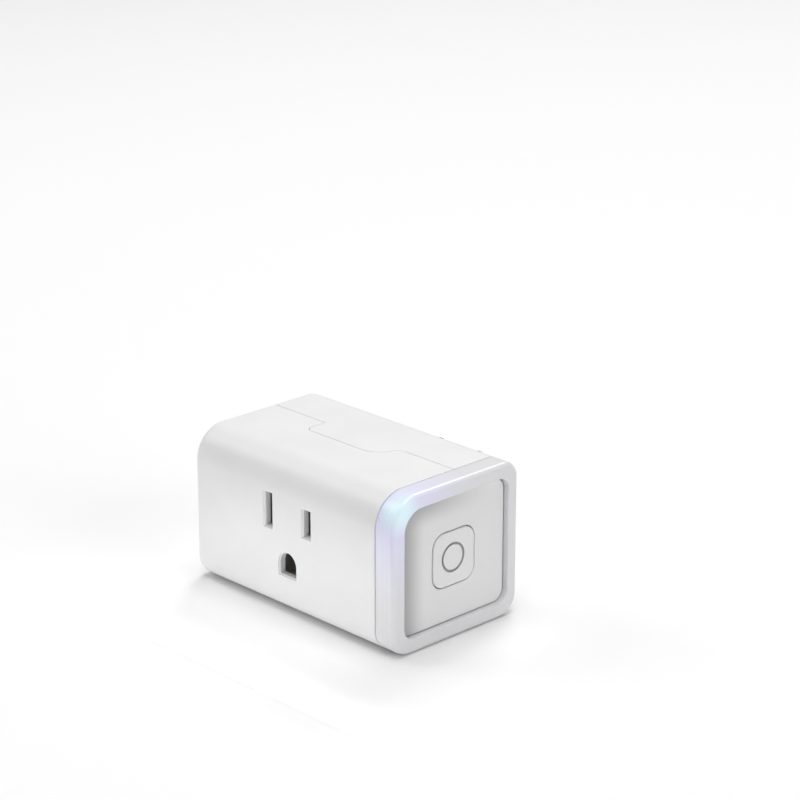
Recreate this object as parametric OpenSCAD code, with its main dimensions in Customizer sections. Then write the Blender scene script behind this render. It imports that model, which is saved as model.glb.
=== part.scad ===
// Compact smart plug: a switched North American outlet in a white housing that plugs into a wall outlet.
// Millimetres. The origin lies on the rear face, midway between the two blades.
// +X runs towards the end with the button, +Y into the wall, +Z up.

/* [Casing] */
// Overall width, from the plain end to the button end
body_w = 66.3; // [65.8:0.1:67]
// Overall depth, from the front face to the rear face
body_d = 39; // [38.6:0.1:40]
// Overall height
body_h = 37; // [36.6:0.1:38]
// Distance from the plain end to the middle of the outlet
outlet_from_end = 32.1; // [31.9:0.1:32.3]
// Distance from the top to the middle of the blade slots
outlet_from_top = 13; // [12.8:0.1:13.2]
// Wall of the housing and of the rear cover
wall = 1.9; // [1.8:0.05:2]
// Radius of the long top front edge
top_front_r = 8; // [7:0.5:9]
// Radius of the long bottom front edge
bottom_front_r = 5.6; // [5:0.2:6]
// Radius of the long top rear edge
top_rear_r = 4; // [3.2:0.1:4.5]
// Radius of the long bottom rear edge
bottom_rear_r = 5; // [4:0.1:5.5]
// Radius of the edges round the plain end
end_r = 2.2; // [2.1:0.1:3]

/* [Seam] */
// Depth of the rear cover, from the rear face to the seam
cover_d = 15; // [14.5:0.1:15.5]
// How far the tongue on top reaches forward of the seam
tongue_reach = 6.05; // [5.8:0.05:6.3]
// Left side of the tongue
tongue_left_x = -13.2; // [-14:0.1:-13]
// Where the tongue's right-hand S-curve starts
tongue_curve_x = 5.6; // [5:0.1:6]

/* [Outlet] */
// Distance between the two blade slots, and between the two blades
blade_pitch = 12.7; // [12.7]
// Distance from the blades down to the ground pin
ground_drop = 11.9; // [11.9]
// Width of both blade slots
slot_w = 2.2; // [2:0.1:2.4]
// Height of the neutral slot
neutral_slot_h = 8.2; // [8:0.1:8.4]
// Height of the line slot
line_slot_h = 6.5; // [6.4:0.1:6.8]
// Width of the ground hole, which has a round top and a flat bottom
ground_hole_w = 5.4; // [5.2:0.1:5.6]

/* [Blades] */
// Thickness of the blades
blade_t = 1.5; // [1.5]
// Width of the blades
blade_w = 6.35; // [6.35]
// Length of the blades behind the rear face
blade_l = 17; // [16:0.5:18]
// Diameter of the ground pin
ground_pin_d = 4.76; // [4.76]
// Length of the ground pin behind the rear face
ground_pin_l = 20.6; // [20:0.2:21.2]

/* [Light ring and button] */
// Depth of the light ring along X
ring_w = 5.8; // [5.6:0.1:6]
// Width of the ring's rim at the front and at the bottom, seen from the button end
rim = 3.6; // [3.5:0.1:3.7]
// Width of the rim at the top
top_rim = 3.3; // [3.2:0.1:3.6]
// Width of the rim at the rear
rear_rim = 3.2; // [3.1:0.1:3.6]
// Depth of the end panel below the rim
panel_drop = 1.4; // [1.3:0.1:1.5]
// Radius of the ring's outer edge
ring_edge_r = 1.3; // [1:0.1:1.4]
// Width and height of the button
button_size = 12.7; // [12.5:0.1:13]
// Gap round the button
button_gap = 0.28; // [0.24:0.02:0.4]
// How far the button lies behind the middle of the casing's depth
button_back = 0.4; // [0.2:0.1:0.5]
// Travel of the button
button_travel = 0.4; // [0.3:0.05:0.45]

/* [Hidden] */
$fn = 64;
past = 1;
clear = 0.05;

left_x = -outlet_from_end;
right_x = left_x + body_w;
ring_x = right_x - ring_w;
front_y = -body_d;
top_z = outlet_from_top;
bottom_z = top_z - body_h;
button_y = front_y / 2 + button_back;
mid_z = (top_z + bottom_z) / 2;
seam_y = -cover_d;
line_x = blade_pitch / 2;
neutral_x = -line_x;
inner_front_y = front_y + wall;
root_r = ground_pin_d / 2 + 0.17;
root_y = 0.3;

// Boards: the main one stands behind the outlet, the small one behind the end panel
board_t = 1.6;
board_back_y = -7;
board_front_y = board_back_y - board_t;
board_left_x = left_x + wall + 0.3;
board_right_x = 22.2;
side_board_x = 23;
side_board_t = 1.2;
side_face_x = side_board_x + side_board_t;
solder_y = board_back_y + 0.8;
screw_spots = [[-11.5, 8.2], [11.5, 8.2], [-10.5, -19], [10.5, -19]];

// Button, switch and panel, along X
panel_x = right_x - panel_drop;
panel_t = 1.8;
panel_back_x = panel_x - panel_t;
flange_x = panel_back_x - 0.1;
flange_t = 1;
switch_size = 6;
switch_h = 3.4;
plunger_r = 1.75;
plunger_tip_x = flange_x - flange_t - 0.7;

// Relay box: x, y and z of its two far corners, and the coil's axis
relay_lo = [-28.9, -24.2, -10.4];
relay_hi = [-14.6, board_front_y, 9];
relay_wall = 0.8;
relay_base_t = 2;
coil_x = -23.2;
coil_y = -17;
armature_z = 5.95;
yoke_leg_x = [-17.6, -16.4];
pivot_x = (yoke_leg_x[0] + yoke_leg_x[1]) / 2;
pivot_r = (yoke_leg_x[1] - yoke_leg_x[0]) / 2;
pivot_z = armature_z - pivot_r - clear;

// A block from its low corner to its high corner
module block(lo, hi) {
    translate(lo)
        cube(hi - lo);
}

// What stands outside the arc in one corner of a rounded outline
module corner_cut(corner, inward, r) {
    centre = corner + r * inward;
    outside = corner - inward;
    difference() {
        translate([min(centre.x, outside.x), min(centre.y, outside.y)])
            square(r + 1);
        translate(centre)
            circle(r);
    }
}

// A rectangle with its own radius at each corner: low left, low right, high right, high left
module round_rect(lo, hi, radii) {
    corners = [lo, [hi.x, lo.y], hi, [lo.x, hi.y]];
    inward = [[1, 1], [-1, 1], [-1, -1], [1, -1]];
    difference() {
        translate(lo)
            square(hi - lo);
        for (k = [0:3])
            if (radii[k] > 0)
                corner_cut(corners[k], inward[k], radii[k]);
    }
}

// An outline in Y and Z pulled out along X
module along_x(x, length) {
    translate([x, 0, 0])
        rotate([90, 0, 90])
            linear_extrude(length)
                children();
}

// An outline in X and Z pulled out along Y, from y to y + length
module along_y(y, length) {
    translate([0, y + length, 0])
        rotate([90, 0, 0])
            linear_extrude(length)
                children();
}

// A round rod along X, along Y or along Z
module rod_x(x, y, z, r, length) {
    translate([x, y, z])
        rotate([0, 90, 0])
            cylinder(h = length, r = r);
}

module rod_y(x, y, z, r, length) {
    translate([x, y, z])
        rotate([-90, 0, 0])
            cylinder(h = length, r = r);
}

module rod_z(x, y, z, r, length) {
    translate([x, y, z])
        cylinder(h = length, r = r);
}

// The casing's cross-section, drawn in Y and Z and set in by a distance
module section(inset) {
    round_rect(
        [front_y + inset, bottom_z + inset], [-inset, top_z - inset],
        [bottom_front_r - inset, bottom_rear_r - inset, top_rear_r - inset, top_front_r - inset]
    );
}

// The casing as one solid with rounded edges at its plain end, set in by a distance and cut at x = end_x
module casing(inset, end_x) {
    r = max(end_r - inset, 0);
    intersection() {
        along_x(left_x + inset, end_x - left_x - inset)
            section(inset);
        translate([0, 0, bottom_z - past])
            linear_extrude(body_h + 2 * past)
                round_rect([left_x + inset, front_y + inset], [end_x + past, -inset], [r, 0, 0, r]);
        along_y(front_y - past, body_d + 2 * past)
            round_rect([left_x + inset, bottom_z + inset], [end_x + past, top_z - inset], [r, 0, 0, r]);
    }
}

// The tongue of the rear cover, seen from above: a round corner on the left and an S-curve on the right
module tongue_outline() {
    front = seam_y - tongue_reach;
    corner_r = 1.8;
    sweep = 75;
    big_r = 0.65 * tongue_reach / (1 - cos(sweep));
    small_r = 0.35 * tongue_reach / (1 - cos(sweep));
    big = [tongue_curve_x, front + big_r];
    small = [tongue_curve_x + (big_r + small_r) * sin(sweep), seam_y - small_r];
    joint = big + big_r * [sin(sweep), -cos(sweep)];
    difference() {
        union() {
            round_rect([tongue_left_x, front], [tongue_curve_x, seam_y + past], [corner_r, 0, 0, 0]);
            translate(big)
                circle(big_r);
            polygon([
                [tongue_curve_x, seam_y + past], big, joint,
                [small.x, seam_y], [small.x, seam_y + past]
            ]);
        }
        translate(small)
            circle(small_r);
    }
}

// Everything behind the seam, with the seam moved forward by a distance
module behind_seam(forward) {
    translate([0, -forward, bottom_z - past]) {
        translate([left_x - past, seam_y, 0])
            cube([body_w + 2 * past, cover_d + forward + past, body_h + 2 * past]);
        translate([0, 0, body_h / 2 + past])
            linear_extrude(body_h / 2 + past)
                tongue_outline();
    }
}

// A slot with a small chamfer at the front face
module blade_slot(x, height) {
    chamfer_x = 0.5;
    chamfer_z = 0.3;
    depth = 0.5;
    half_w = slot_w / 2;
    half_h = height / 2;
    block([x - half_w, front_y - past, -half_h], [x + half_w, inner_front_y + past, half_h]);
    intersection() {
        translate([x, front_y, -half_h - past])
            linear_extrude(height + 2 * past)
                polygon([
                    [-half_w, depth], [half_w, depth], [half_w + chamfer_x, 0],
                    [half_w + chamfer_x, -past], [-half_w - chamfer_x, -past], [-half_w - chamfer_x, 0]
                ]);
        along_x(x - half_w - past, slot_w + 2 * past)
            polygon([
                [front_y + depth, -half_h], [front_y + depth, half_h], [front_y, half_h + chamfer_z],
                [front_y - past, half_h + chamfer_z], [front_y - past, -half_h - chamfer_z],
                [front_y, -half_h - chamfer_z]
            ]);
    }
}

// The ground hole's outline in X and Z: an arch over a flat sill
module arch(grow) {
    r = ground_hole_w / 2 + grow;
    sill = -ground_drop - 2.45 - grow;
    spring = -ground_drop + 0.3;
    translate([-r, sill])
        square([2 * r, spring - sill]);
    translate([0, spring])
        circle(r);
}

// The four snap hooks: x of each, and whether it is on the top or the bottom wall
hook_w = 4;
hook_spots = [[-20, 1], [16, 1], [-20, -1], [16, -1]];

// A block next to the top wall (side 1) or the bottom wall (side -1), by its depths below the outer face
module wall_block(x, width, y, length, outer_depth, inner_depth, side) {
    z = side > 0 ? top_z - inner_depth : bottom_z + outer_depth;
    translate([x - width / 2, y, z])
        cube([width, length, inner_depth - outer_depth]);
}

// Front half of the casing, open at the rear and at the button end
module front_housing() {
    color("white") {
        difference() {
            casing(0, ring_x);
            casing(wall, ring_x + past);
            behind_seam(0);
            blade_slot(neutral_x, neutral_slot_h);
            blade_slot(line_x, line_slot_h);
            along_y(front_y - past, wall + 2 * past)
                arch(0);
            along_y(front_y - past, 0.35 + past)
                arch(0.3);
            for (spot = hook_spots)
                wall_block(spot.x, hook_w + 0.4, seam_y - 6.5, 1.9, wall - 0.7, wall + past, spot.y);
        }
        // Rails that hold the front edge of the side board
        for (z = [-14, 2])
            for (x = [side_board_x - 0.9, side_face_x + 0.1])
                block([x, inner_front_y - 0.2, z], [x + 0.8, inner_front_y + 1.8, z + 4]);
    }
}

// Rear half of the casing, with the tongue on top, the lip and hooks that snap into the housing, and bosses
module rear_cover() {
    lip_gap = wall + 0.1;
    lip_depth = wall + 1;
    lip_end_x = 25;
    lip_back_y = seam_y + 2.5;
    boss_r = 2.2;
    color("white")
        difference() {
            union() {
                difference() {
                    intersection() {
                        casing(0, ring_x);
                        behind_seam(0);
                    }
                    casing(wall, ring_x + past);
                }
                // The lip: thick where it joins the wall, thin where it enters the housing
                difference() {
                    union() {
                        intersection() {
                            casing(wall - 0.9, lip_end_x);
                            behind_seam(0);
                        }
                        intersection() {
                            casing(lip_gap, lip_end_x);
                            behind_seam(2);
                        }
                    }
                    casing(lip_depth, ring_x + past);
                    block([left_x - past, lip_back_y, bottom_z - past], [right_x, past, top_z + past]);
                }
                for (spot = hook_spots) {
                    wall_block(spot.x, hook_w, seam_y - 6.4, 8.4, lip_gap, wall + 1.2, spot.y);
                    wall_block(spot.x, hook_w, seam_y - 6.4, 1.6, wall - 0.6, wall + 1, spot.y);
                }
                for (spot = screw_spots)
                    rod_y(spot.x, board_back_y, spot.y, boss_r, wall - board_back_y - 2 * wall + 0.2);
            }
            for (x = [neutral_x, line_x])
                block([x - blade_t / 2 - clear, -wall - past, -blade_w / 2 - clear],
                    [x + blade_t / 2 + clear, past, blade_w / 2 + clear]);
            rod_y(0, -wall - past, -ground_drop, root_r + clear, wall + 2 * past);
            for (spot = screw_spots)
                rod_y(spot.x, board_back_y - past, spot.y, 1.15, 4.8 + past);
        }
}

// The end opening that shows the panel, drawn in Y and Z and grown or shrunk by a distance
module recess_outline(shrink) {
    round_rect(
        [front_y + rim + shrink, bottom_z + rim + shrink], [-rear_rim - shrink, top_z - top_rim - shrink],
        [3 - shrink, 3 - shrink, 3 - shrink, 5.2 - shrink]
    );
}

// Frosted ring that carries the light round the button end, with a thin skirt inside the housing
module light_ring() {
    groove_w = 0.25;
    groove_d = 0.35;
    ledge = 2;
    skirt_l = 3;
    steps = 5;
    color("lavender") {
        difference() {
            hull() {
                along_x(ring_x + groove_w, 0.1)
                    section(0, $fn = 32);
                for (k = [0:steps]) {
                    turn = 90 * k / steps;
                    along_x(right_x - ring_edge_r * (1 - sin(turn)) - 0.1, 0.1)
                        section(ring_edge_r * (1 - cos(turn)), $fn = 32);
                }
            }
            along_x(panel_back_x, right_x)
                recess_outline(0);
            along_x(ring_x, ring_w + past)
                recess_outline(ledge);
        }
        difference() {
            union() {
                along_x(ring_x, groove_w)
                    section(groove_d);
                along_x(ring_x - skirt_l, skirt_l)
                    section(wall + 0.1);
            }
            along_x(ring_x - skirt_l - past, skirt_l + past)
                section(wall + 1.4);
            along_x(ring_x, ring_w + past)
                recess_outline(ledge);
        }
    }
}

// A rounded square round the button's middle, pulled out along X
module button_square(x, length, half, corner) {
    along_x(x, length)
        round_rect([button_y - half, mid_z - half], [button_y + half, mid_z + half], corner * [1, 1, 1, 1]);
}

// Plain plate inside the ring, with the hole for the button
module end_panel() {
    gap = 0.05;
    hole = button_size / 2 + button_gap;
    hole_r = 3.5;
    color("gainsboro")
        difference() {
            along_x(panel_back_x, panel_t)
                recess_outline(gap);
            button_square(panel_back_x - past, panel_t + 2 * past, hole, hole_r);
        }
}

// Button cap with a dished face and a ring-shaped groove, on a flange that keeps it behind the panel
module button() {
    half = button_size / 2;
    corner_r = 3.2;
    overlap = 1.6;
    face_x = panel_x + 0.15;
    dish_r = 50;
    dish_depth = 0.45;
    groove_r = [3.07, 3.43];
    groove_floor_x = face_x - dish_depth - 0.3;
    nub_r = 2.2;
    color("gainsboro")
        difference() {
            union() {
                button_square(flange_x - 0.1, face_x - flange_x + 0.1, half, corner_r);
                button_square(flange_x - flange_t, flange_t, half + overlap, corner_r + 1);
                rod_x(plunger_tip_x + 0.1, button_y, mid_z, nub_r, flange_x - plunger_tip_x - 0.6);
            }
            translate([face_x - dish_depth + dish_r, button_y, mid_z])
                sphere(r = dish_r, $fn = 128);
            difference() {
                rod_x(groove_floor_x, button_y, mid_z, groove_r[1], 2);
                rod_x(groove_floor_x - past, button_y, mid_z, groove_r[0], 2 + 2 * past);
            }
        }
}

// Case of the push switch on the side board
module switch_body() {
    half = switch_size / 2;
    floor_t = 0.6;
    cavity_top_x = side_face_x + switch_h - 1;
    color("dimgray")
        difference() {
            block([side_face_x, button_y - half, mid_z - half],
                [side_face_x + switch_h, button_y + half, mid_z + half]);
            rod_x(side_face_x + floor_t, button_y, mid_z, 2.5, cavity_top_x - side_face_x - floor_t);
            rod_x(side_face_x + floor_t, button_y, mid_z, plunger_r + clear, switch_h);
        }
}

// Domed snap disc under the switch's plunger
module switch_dome() {
    dome_h = 0.45;
    sheet_t = 0.15;
    disc_r = 2.3;
    ball_r = (disc_r * disc_r + dome_h * dome_h) / (2 * dome_h);
    color("silver")
        translate([side_face_x + 0.6, button_y, mid_z])
            rotate([0, 90, 0])
                rotate_extrude()
                    intersection() {
                        translate([0, dome_h - ball_r])
                            difference() {
                                circle(ball_r, $fn = 360);
                                circle(ball_r - sheet_t, $fn = 360);
                            }
                        square([disc_r, dome_h]);
                    }
}

// Plunger of the push switch: a stem with a foot that keeps it in the case
module switch_plunger() {
    foot_x = side_face_x + switch_h - 1 - 0.75;
    color("black") {
        rod_x(foot_x, button_y, mid_z, plunger_r, plunger_tip_x - foot_x);
        rod_x(foot_x, button_y, mid_z, 2.3, 0.6);
    }
}

// Small board behind the end panel: it carries the switch, the lamps and the radio
module side_board() {
    inset = wall + 1.2;
    color("seagreen")
        difference() {
            along_x(side_board_x, side_board_t)
                section(inset);
            for (z = pin_heights)
                block([side_board_x - past, pin_y - 0.4, z - 0.4],
                    [side_face_x + past, pin_y + 0.4, z + 0.4]);
        }
}

// Two lamps at the top front corner, behind the ring's skirt
module status_leds() {
    color("lightcyan")
        for (spot = [[-34.2, 8.2], [-31.2, 9.1]])
            block([side_face_x, spot.x - 0.8, spot.y - 0.8],
                [side_face_x + 0.8, spot.x + 0.8, spot.y + 0.8]);
}

// Radio module's own board, on the inner face of the side board
wifi_t = 0.8;
module wifi_board() {
    color("darkslategray")
        block([side_board_x - wifi_t, -32, -13], [side_board_x, -14, 9]);
}

// Pressed can over the radio chip
module wifi_shield() {
    can_t = 0.25;
    can_h = 1.8;
    x = side_board_x - wifi_t;
    color("silver")
        difference() {
            block([x - can_h, -31, -12], [x, -15.5, 2.5]);
            block([x - can_h + can_t, -31 + can_t, -12 + can_t], [x + past, -15.5 - can_t, 2.5 - can_t]);
        }
}

// Row of bent pins that join the two boards
pin_pitch = 2;
pin_heights = [for (k = [0:7]) -16 + k * pin_pitch];
pin_y = board_front_y - 1.4;
pin_half = 0.3;

module header_strip() {
    color("black")
        difference() {
            block([20.5, board_front_y - 2.6, pin_heights[0] - 1],
                [22.9, board_front_y, pin_heights[7] + 1]);
            for (z = pin_heights) {
                block([19, pin_y - pin_half, z - pin_half], [24, pin_y + pin_half, z + pin_half]);
                block([21 - pin_half, pin_y - pin_half, z - pin_half],
                    [21 + pin_half, board_front_y + past, z + pin_half]);
            }
        }
}

module header_pins() {
    color("goldenrod")
        for (z = pin_heights) {
            block([21 - pin_half, pin_y - pin_half, z - pin_half],
                [side_face_x + 0.8, pin_y + pin_half, z + pin_half]);
            block([21 - pin_half, pin_y - pin_half, z - pin_half],
                [21 + pin_half, solder_y, z + pin_half]);
        }
}

// Where a flat tab goes through the main board: x, z and half sizes
tab_spots = [
    [neutral_x, -1.8, 0.5, 1.2], [neutral_x, 1.8, 0.5, 1.2],
    [line_x, -1.8, 0.5, 1.2], [line_x, 1.8, 0.5, 1.2],
    [0, -ground_drop + 2.7, 0.5, 0.8],
    [-27.95, 1.1, 0.3, 1], [-17, -5.5, 0.6, 0.7]
];

module main_board() {
    inset = wall + 0.3;
    color("seagreen")
        difference() {
            block([board_left_x, board_front_y, bottom_z + inset],
                [board_right_x, board_back_y, top_z - inset]);
            for (spot = tab_spots)
                block([spot.x - spot[2] - clear, board_front_y - past, spot.y - spot[3] - clear],
                    [spot.x + spot[2] + clear, board_back_y + past, spot.y + spot[3] + clear]);
            for (z = pin_heights)
                block([20.6, board_front_y - past, z - 0.4], [21.4, board_back_y + past, z + 0.4]);
            rod_y(0, board_front_y - past, -ground_drop, 1.1 + clear, board_t + 2 * past);
            for (spot = screw_spots)
                rod_y(spot.x, board_front_y - past, spot.y, 1.5, board_t + 2 * past);
        }
}

// Four pan-head screws that hold the main board on the rear cover's bosses
module board_screws() {
    head_h = 1.4;
    color("silver")
        for (spot = screw_spots)
            difference() {
                union() {
                    rod_y(spot.x, board_front_y - head_h, spot.y, 2.1, head_h);
                    rod_y(spot.x, board_front_y - 0.1, spot.y, 1.1, 6);
                }
                for (turn = [0, 90])
                    translate([spot.x, board_front_y - head_h, spot.y])
                        rotate([0, turn, 0])
                            cube([2.4, 1.4, 0.5], center = true);
            }
}

// Insulating block behind the front face that holds the three socket contacts
module contact_carrier() {
    back_y = -13;
    blade_back_y = -19.5;
    ground_back_y = -17;
    color("whitesmoke")
        difference() {
            union() {
                intersection() {
                    block([-13, inner_front_y, -17], [13, back_y, 7]);
                    casing(wall + clear, ring_x);
                }
                for (x = [-12.5, 10.5])
                    for (z = [-16.5, 2])
                        block([x, back_y - 0.1, z], [x + 2, board_front_y, z + 2]);
            }
            for (x = [neutral_x, line_x]) {
                block([x - 2.1, inner_front_y - past, -4.6], [x + 2.1, blade_back_y, 4.6]);
                block([x - 0.4, blade_back_y - past, 0.5], [x + 0.4, back_y + past, 3.1]);
            }
            block([-4, inner_front_y - past, -15.6], [4, ground_back_y, -7.8]);
            block([-0.4, ground_back_y - past, -ground_drop + 1.8],
                [0.4, back_y + past, -ground_drop + 3.6]);
        }
}

// One thin leaf of a contact: a strip that follows points in X and Y, pulled up along Z
module leaf(points, t, z, height) {
    back = [for (k = [len(points) - 1:-1:0]) points[k] + [t, 0]];
    translate([0, 0, z])
        linear_extrude(height)
            polygon(concat(points, back));
}

// A forked contact with flared mouth, a web at the back and a tab for the board
module fork(x, mouth, pinch, base, base_y, z, height, tab_z, tab_h) {
    t = 0.45;
    mouth_y = inner_front_y + 0.6;
    pinch_y = inner_front_y + 5;
    translate([x, 0, 0]) {
        for (side = [0, 1])
            mirror([side, 0, 0])
                leaf([[mouth, mouth_y], [pinch, pinch_y], [pinch + 0.1, pinch_y + 2], [base, base_y]],
                    t, z, height);
        block([-base - t, base_y - 0.6, z], [base + t, base_y, z + height]);
        block([-0.3, base_y - 0.1, tab_z], [0.3, solder_y, tab_z + tab_h]);
    }
}

module line_contact() {
    color("gold")
        fork(line_x, 1.5, 0.65, 1.3, -19.6, -3, 6, 0.65, 2.3);
}

module neutral_contact() {
    color("gold")
        fork(neutral_x, 1.5, 0.65, 1.3, -19.6, -3.8, 7.6, 0.65, 2.3);
}

module ground_contact() {
    color("gold")
        fork(0, 3.2, 2.35, 2.9, -17.1, -ground_drop - 3.2, 6.6, -ground_drop + 1.95, 1.5);
}

// Flat blade with cut corners at its tip, a hole, a shoulder inside the rear wall and a tab for the board
module blade(x) {
    half_w = blade_w / 2;
    half_t = blade_t / 2;
    hole_r = 1.6;
    hole_y = 11.9;
    back_y = -wall - 1.2;
    difference() {
        intersection() {
            block([x - half_t, back_y, -half_w], [x + half_t, blade_l, half_w]);
            along_x(x - past, 2 * past)
                round_rect([back_y - past, -half_w], [blade_l, half_w], [0, 1.2, 1.2, 0]);
            translate([x, 0, -half_w - past])
                linear_extrude(blade_w + 2 * past)
                    polygon([[-half_t, back_y - past], [half_t, back_y - past], [half_t, blade_l - 1.6],
                        [half_t - 0.4, blade_l], [0.4 - half_t, blade_l], [-half_t, blade_l - 1.6]]);
        }
        rod_x(x - past, hole_y, 0, hole_r, 2 * past);
    }
    block([x - 2, back_y, -half_w - 0.9], [x + 2, -wall, half_w + 0.9]);
    block([x - 0.5, solder_y - 4, -2.95], [x + 0.5, back_y + 0.1, -0.65]);
}

module line_blade() {
    color("silver")
        blade(line_x);
}

module neutral_blade() {
    color("silver")
        blade(neutral_x);
}

// Round ground pin with a domed tip, a thicker root, a shoulder and a thin tail
module ground_pin() {
    r = ground_pin_d / 2;
    back_y = -wall - 1.2;
    color("silver") {
        rod_y(0, back_y, -ground_drop, root_r, root_y - back_y);
        rod_y(0, back_y, -ground_drop, r, ground_pin_l - r - back_y);
        translate([0, ground_pin_l - r, -ground_drop])
            sphere(r = r);
        rod_y(0, back_y, -ground_drop, 3.3, 1.2);
        rod_y(0, board_front_y - 0.8, -ground_drop, 1.1, back_y - board_front_y + 0.9);
    }
}

// Copper bars on the back of the main board, each with its outline in X and Z
bus_t = 0.7;

module line_bus() {
    color("peru")
        difference() {
            along_y(board_back_y, bus_t) {
                translate([-18.6, -6.4])
                    square([26.8, 1.8]);
                translate([4.6, -6.4])
                    square([3.6, 6]);
            }
            tab_holes();
        }
}

module load_bus() {
    color("peru")
        difference() {
            along_y(board_back_y, bus_t) {
                translate([-29.2, 4])
                    square([37.4, 1.8]);
                translate([4.6, 0.4])
                    square([3.6, 5.4]);
                translate([-29.2, -0.4])
                    square([2.6, 6.2]);
            }
            tab_holes();
        }
}

module neutral_bus() {
    color("peru")
        difference() {
            along_y(board_back_y, bus_t)
                translate([neutral_x - 1.8, -3.4])
                    square([3.6, 6.8]);
            tab_holes();
        }
}

module ground_bus() {
    color("peru")
        difference() {
            along_y(board_back_y, bus_t)
                translate([-1.9, -ground_drop - 1.9])
                    square([3.8, 5.8]);
            tab_holes();
            rod_y(0, board_back_y - past, -ground_drop, 1.1 + clear, 3 * past);
        }
}

module tab_holes() {
    for (spot = tab_spots)
        block([spot.x - spot[2] - clear, board_back_y - past, spot.y - spot[3] - clear],
            [spot.x + spot[2] + clear, board_back_y + 2 * past, spot.y + spot[3] + clear]);
}

// Relay: base, cover, wound bobbin, iron circuit, and a pair of contacts
module relay_base() {
    color("dimgray")
        difference() {
            block([relay_lo.x, relay_hi.y - relay_base_t, relay_lo.z], relay_hi);
            for (k = [5, 6])
                block([tab_spots[k].x - tab_spots[k][2] - clear, relay_hi.y - relay_base_t - past,
                        tab_spots[k].y - tab_spots[k][3] - clear],
                    [tab_spots[k].x + tab_spots[k][2] + clear, relay_hi.y + past,
                        tab_spots[k].y + tab_spots[k][3] + clear]);
        }
}

module relay_cover() {
    shrink = relay_wall * [1, 1, 1];
    top_y = relay_hi.y - relay_base_t;
    color("black")
        difference() {
            block(relay_lo, [relay_hi.x, top_y, relay_hi.z]);
            block(relay_lo + shrink, [relay_hi.x - relay_wall, top_y + past, relay_hi.z - relay_wall]);
        }
}

bobbin_z = [-7.3, 4.1];
bobbin_flange_t = 0.8;

module relay_bobbin() {
    color("ivory")
        difference() {
            union() {
                rod_z(coil_x, coil_y, bobbin_z[0], 2.5, bobbin_z[1] - bobbin_z[0]);
                for (z = [bobbin_z[0], bobbin_z[1] - bobbin_flange_t])
                    rod_z(coil_x, coil_y, z, 4.5, bobbin_flange_t);
            }
            rod_z(coil_x, coil_y, bobbin_z[0] - past, 1.9 + clear, bobbin_z[1] - bobbin_z[0] + 2 * past);
        }
}

module relay_coil() {
    z = bobbin_z[0] + bobbin_flange_t;
    length = bobbin_z[1] - bobbin_z[0] - 2 * bobbin_flange_t;
    color("orangered")
        difference() {
            rod_z(coil_x, coil_y, z, 4.1, length);
            rod_z(coil_x, coil_y, z - past, 2.5, length + 2 * past);
        }
}

module relay_core() {
    color("gray") {
        rod_z(coil_x, coil_y, bobbin_z[0] - 0.1, 1.9, bobbin_z[1] - bobbin_z[0] + 0.2);
        rod_z(coil_x, coil_y, bobbin_z[1], 3, 0.8);
    }
}

module relay_yoke() {
    foot_z = bobbin_z[0] - 1.3;
    color("gray") {
        block([-27.4, coil_y - 3.5, foot_z], [yoke_leg_x[1], coil_y + 3.5, foot_z + 1.2]);
        block([yoke_leg_x[0], coil_y - 3.5, foot_z], [yoke_leg_x[1], coil_y + 3.5, pivot_z]);
        rod_y(pivot_x, coil_y - 3.5, pivot_z, pivot_r, 7);
        block([yoke_leg_x[0] + 0.1, coil_y + 3, -6.1], [yoke_leg_x[1], solder_y, -4.9]);
    }
}

// Iron plate that tips on the yoke's rounded top edge towards the coil's core
module relay_armature() {
    color("gray")
        block([-27.6, coil_y - 3.5, armature_z], [yoke_leg_x[1] + 0.2, coil_y + 3.5, armature_z + 1]);
}

// Spring strip on the armature with its contact rivet
module relay_moving_contact() {
    rivet = [-25.4, -21.8];
    top = armature_z + 1;
    color("gold") {
        block([-27.4, rivet.y - 1.2, top], [-23.4, coil_y + 3, top + 0.3]);
        rod_z(rivet.x, rivet.y, armature_z, 1.1, 1.1);
    }
}

module relay_fixed_contact() {
    rivet = [-25.4, -21.8];
    strip_x = [-28.05, -27.85];
    color("gold") {
        block([strip_x[0], rivet.y - 1.2, 0.2], [strip_x[1], relay_hi.y - relay_base_t, 4.4]);
        block([strip_x[0], rivet.y - 1.2, 4.1], [-24.3, rivet.y + 1.1, 4.4]);
        rod_z(rivet.x, rivet.y, 4.3, 1.1, 0.95);
        block([strip_x[0], relay_hi.y - relay_base_t - 0.1, 0.2], [strip_x[1], solder_y, 2]);
    }
}

// Power supply parts on the main board
module bulk_capacitors() {
    can_r = 3.9;
    can_l = 14;
    for (x = [-25, -16.9])
        color("midnightblue")
            translate([x, board_front_y, -16.4])
                rotate([90, 0, 0])
                    difference() {
                        cylinder(h = can_l, r = can_r);
                        translate([0, 0, 2])
                            rotate_extrude()
                                translate([can_r + 0.2, 0])
                                    circle(0.6);
                        translate([0, 0, can_l - 0.2])
                            cylinder(h = 1, r = can_r - 0.7);
                    }
}

module film_capacitor() {
    color("gold")
        translate([0, 0, -9])
            linear_extrude(11)
                round_rect([14, -21.5], [19.2, board_front_y], [0.8, 0.8, 0, 0]);
}

module varistor() {
    color("royalblue") {
        rod_x(14.2, -14.6, -15, 4.5, 3.4);
        for (z = [-17.4, -12.6])
            rod_y(15.9, -13, z, 0.4, board_front_y + 13);
    }
}

module fuse() {
    y = board_front_y - 1.75;
    color("ivory")
        rod_x(-4.6, y, -19.4, 1.5, 9.2);
    color("silver")
        for (x = [-6.4, 3.9])
            rod_x(x, y, -19.4, 1.7, 2.5);
}

module inductor() {
    color("saddlebrown")
        for (part = [[0, 3.1, 1], [1, 2.7, 5], [6, 3.1, 1]])
            rod_y(17.2, board_front_y - 7 + part.x, 6, part.y, part.z);
}

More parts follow.
